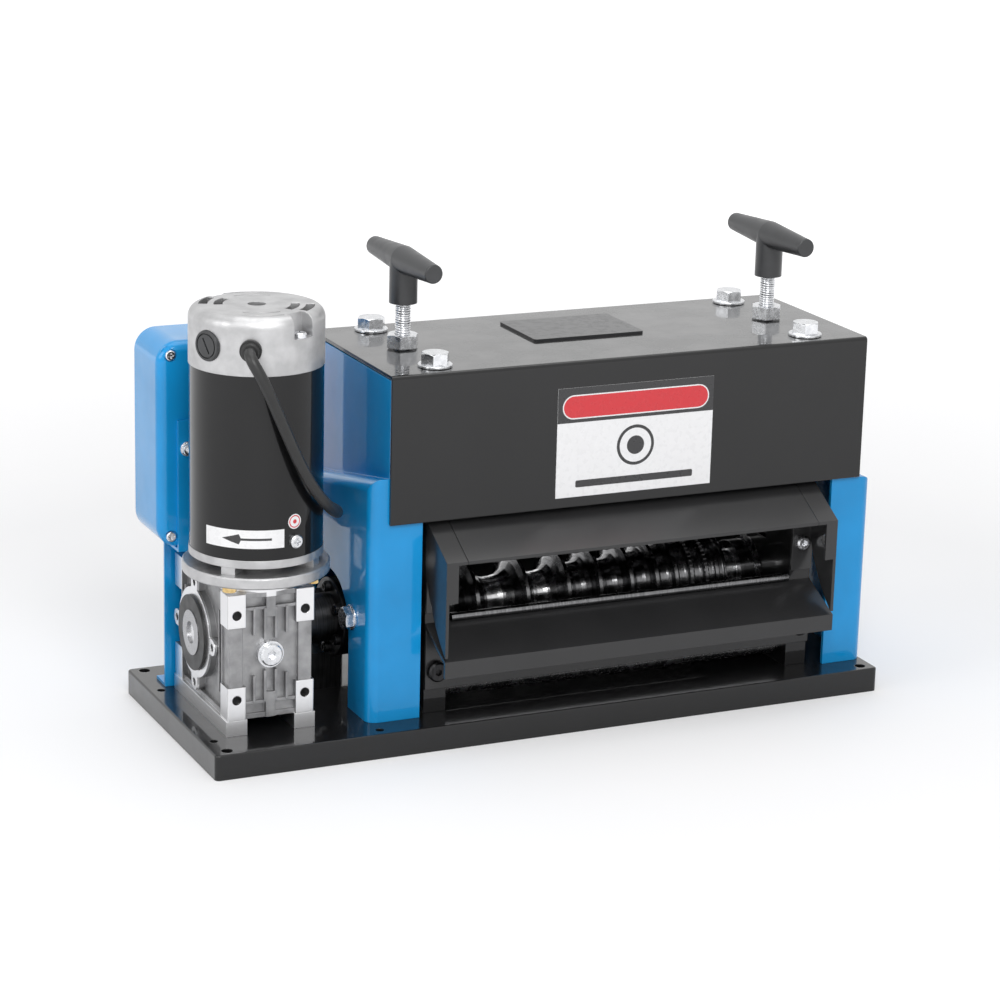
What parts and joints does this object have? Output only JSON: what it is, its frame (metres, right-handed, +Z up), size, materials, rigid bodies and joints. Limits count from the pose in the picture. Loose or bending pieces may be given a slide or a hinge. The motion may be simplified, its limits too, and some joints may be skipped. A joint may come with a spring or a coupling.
{
  "type": "cable_stripping_machine",
  "caption": "Motor-driven bench machine that strips cable: a geared motor turns a grooved feed roller under a roller of round blades, set by two T-handle screws",
  "frame": {"origin": "centre of the base, at the surface that the machine stands on", "axes": "+X along the rollers from the gearbox side to the gear cover, +Y from the feed side to the rear, +Z up"},
  "size_m": [0.46, 0.184, 0.3008],
  "materials": {
    "black_coat": "glossy black powder coat with a fine orange peel",
    "blue_coat": "glossy blue powder coat",
    "black_satin": "smooth black enamel, half gloss",
    "cast_aluminium": "die cast, blasted, matt with a fine grain",
    "machined_steel": "turned and ground, with fine rings",
    "dark_steel": "blackened steel",
    "zinc": "bright zinc plate",
    "yellow_zinc": "yellow passivated zinc plate",
    "bronze": "cast bronze, turned",
    "nylon": "moulded nylon, fine grain",
    "rubber": "moulded rubber, matt",
    "label": "printed film, plain shapes only",
    "dark_label": "anodised sheet, blank",
    "magnet": "sintered ferrite, matt",
    "green_button": "moulded, glossy",
    "red_button": "moulded, glossy"
  },
  "bodies": {
    "machine": {"base_plate": "black_coat", "box_bracket": "blue_coat", "box_lid": "blue_coat", "bracket_bolts": "zinc", "brush_caps": "nylon", "carbon_brushes": "magnet", "control_box": "blue_coat", "cord_glands": "rubber", "coupling_bolts": "dark_steel", "coupling_housing": "dark_steel", "cover_bolts": "zinc", "feed_guard": "black_coat", "feed_table": "black_coat", "flange_bolts": "yellow_zinc", "gearbox_bars": "cast_aluminium", "gearbox_housing": "cast_aluminium", "guard_screws": "zinc", "guide_rods": "zinc", "hood": "black_coat", "hood_bolts": "zinc", "left_cover": "blue_coat", "left_side_frame": "black_coat", "lock_nuts": "zinc", "lower_bearings": "machined_steel", "motor_end_ring": "cast_aluminium", "motor_flange": "cast_aluminium", "motor_head": "cast_aluminium", "motor_lead": "rubber", "motor_magnets": "magnet", "motor_tube": "black_satin", "name_plate": "dark_label", "oil_plug": "zinc", "outlet_guard": "black_coat", "outlet_table": "black_coat", "panhead_screws": "zinc", "right_cover": "blue_coat", "right_side_frame": "black_coat", "shaft_seals": "rubber", "sign_plate": "label", "support_block": "dark_steel", "table_screws": "dark_steel", "tie_bars": "machined_steel"},
    "drive_roller": {"lower_roller": "machined_steel", "lower_gear": "machined_steel", "worm_wheel": "bronze"},
    "motor_rotor": {"worm": "machined_steel", "armature": "dark_steel"},
    "carriage": {"left_bearing_block": "dark_steel", "right_bearing_block": "dark_steel", "upper_bearings": "machined_steel"},
    "blade_roller": {"blade_shaft": "machined_steel", "blades": "machined_steel", "upper_rings": "machined_steel", "upper_gear": "machined_steel"},
    "left_turning_screw": {"left_screw": "zinc", "left_handle": "nylon"},
    "right_turning_screw": {"right_screw": "zinc", "right_handle": "nylon"},
    "start_push": {"start_button": "green_button"},
    "stop_push": {"stop_button": "red_button"}
  },
  "joints": [
    {"name": "motor_spin", "type": "hinge", "parent": "machine", "child": "motor_rotor", "pos_m": [-0.1845, -0.03, 0.18], "axis": [0, 0, 1], "continuous": true},
    {"name": "feed_roller_spin", "type": "hinge", "parent": "machine", "child": "drive_roller", "pos_m": [0, 0, 0.066], "axis": [1, 0, 0], "continuous": true},
    {"name": "carriage_lift", "type": "slide", "parent": "machine", "child": "carriage", "axis": [0, 0, 1], "range_m": [-0.0006, 0.0024]},
    {"name": "blade_roller_spin", "type": "hinge", "parent": "carriage", "child": "blade_roller", "pos_m": [0, 0, 0.124], "axis": [1, 0, 0], "continuous": true},
    {"name": "left_screw_turn", "type": "hinge", "parent": "carriage", "child": "left_turning_screw", "pos_m": [-0.077, 0, 0.24], "axis": [0, 0, 1], "range_deg": [-144, 576]},
    {"name": "right_screw_turn", "type": "hinge", "parent": "carriage", "child": "right_turning_screw", "pos_m": [0.1815, 0, 0.24], "axis": [0, 0, 1], "range_deg": [-144, 576]},
    {"name": "start_press", "type": "slide", "parent": "machine", "child": "start_push", "axis": [0, -1, 0], "range_m": [0, 0.004], "stiffness_N_per_m": 400, "springref_m": -0.002},
    {"name": "stop_press", "type": "slide", "parent": "machine", "child": "stop_push", "axis": [0, -1, 0], "range_m": [0, 0.004], "stiffness_N_per_m": 400, "springref_m": -0.002}
  ],
  "couplings": [
    {"joint": "feed_roller_spin", "follows": "motor_spin", "ratio": 0.033333},
    {"joint": "blade_roller_spin", "follows": "motor_spin", "ratio": -0.033333},
    {"joint": "left_screw_turn", "follows": "carriage_lift", "rad_per_m": 4188.8},
    {"joint": "right_screw_turn", "follows": "carriage_lift", "rad_per_m": 4188.8}
  ]
}
